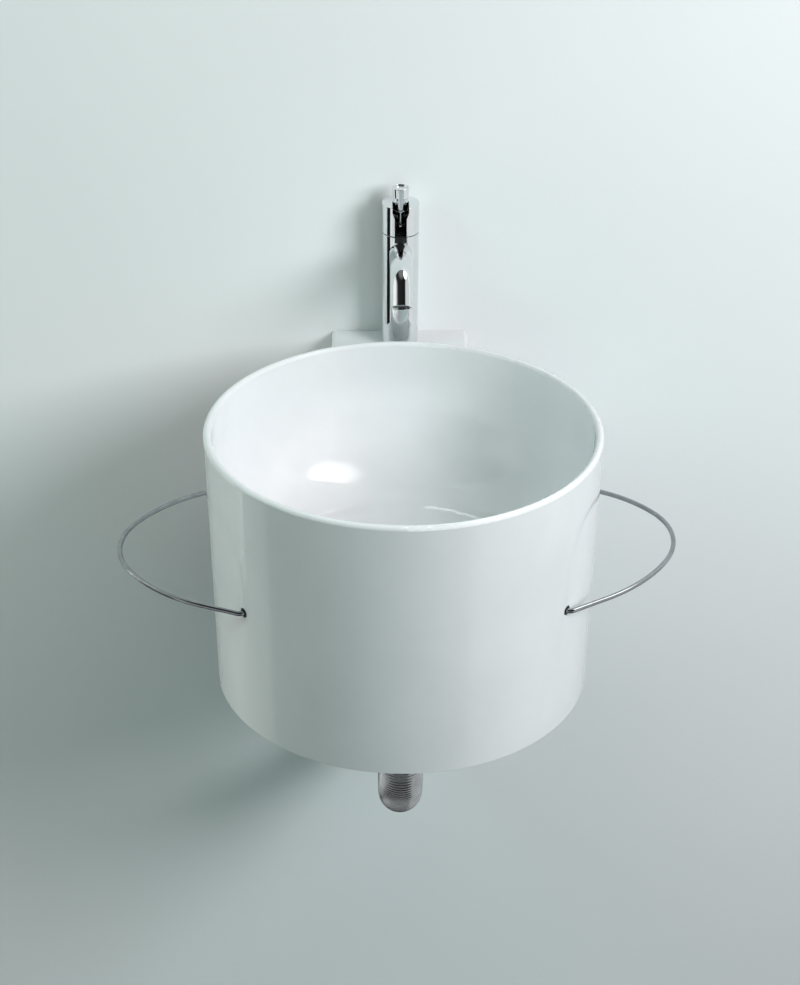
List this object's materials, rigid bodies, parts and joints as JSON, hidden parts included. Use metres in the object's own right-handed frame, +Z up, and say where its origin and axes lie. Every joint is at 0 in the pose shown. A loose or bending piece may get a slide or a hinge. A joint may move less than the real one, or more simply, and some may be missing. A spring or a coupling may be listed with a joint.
{
  "type": "wall hung basin",
  "caption": "Round ceramic basin hung on the wall by a boxed neck, with a lever tap, a covered open waste, wire towel rails and a ribbed waste hose.",
  "frame": {"origin": "on the wall's face, midway between the two wall bolts", "axes": "+Z up, +Y into the wall, so the basin's front looks along -Y and +X is its right hand side as seen from the front"},
  "size_m": [0.5771, 0.5359, 0.7068],
  "materials": {
    "glazed_ceramic": "gloss",
    "rail_chrome": "polished",
    "tap_chrome": "polished",
    "hose_steel": "ribbed",
    "plated_brass": "plated",
    "bare_brass": "turned",
    "zinc_steel": "zinc plated",
    "black_rubber": "matte",
    "black_plastic": "matte",
    "pale_plastic": "moulded"
  },
  "bodies": {
    "base": {"aerator_housing": "tap_chrome", "aerator_insert": "pale_plastic", "basin_body": "glazed_ceramic", "bolt_nuts": "zinc_steel", "bolt_sleeves": "pale_plastic", "bolt_washers": "zinc_steel", "cartridge": "pale_plastic", "cartridge_nut": "bare_brass", "horseshoe_gasket": "black_rubber", "horseshoe_washer": "zinc_steel", "index_block": "black_plastic", "left_towel_rail": "rail_chrome", "rail_grommets": "black_rubber", "rail_nuts": "zinc_steel", "rail_washers": "zinc_steel", "right_towel_rail": "rail_chrome", "seam_ring": "black_plastic", "spout": "tap_chrome", "stud_nut": "zinc_steel", "tap_body": "tap_chrome", "tap_gasket": "black_rubber", "tap_stud": "zinc_steel", "top_coupling": "plated_brass", "top_coupling_seal": "black_rubber", "wall_bolts": "zinc_steel", "wall_coupling": "plated_brass", "wall_coupling_seal": "black_rubber", "wall_rosette": "tap_chrome", "wall_spigot": "plated_brass", "waste_cover": "tap_chrome", "waste_flange": "tap_chrome", "waste_hose": "hose_steel", "waste_lock_nut": "plated_brass", "waste_seal": "black_rubber", "waste_under_seal": "black_rubber", "waste_washer": "zinc_steel"},
    "head": {"tap_head": "tap_chrome", "lever_carrier": "black_plastic", "head_screw": "zinc_steel", "lever_pivot_pin": "zinc_steel"},
    "lever": {"lever_stem": "tap_chrome", "lever_grip": "tap_chrome", "lever_collar": "tap_chrome"}
  },
  "joints": [
    {"name": "head_turn", "type": "hinge", "parent": "base", "child": "head", "pos_m": [0, -0.026, 0.2199], "axis": [0, 0, 1], "range_deg": [-45, 45]},
    {"name": "lever_tilt", "type": "hinge", "parent": "head", "child": "lever", "pos_m": [0, -0.026, 0.2265], "axis": [1, 0, 0], "range_deg": [0, 20]}
  ]
}
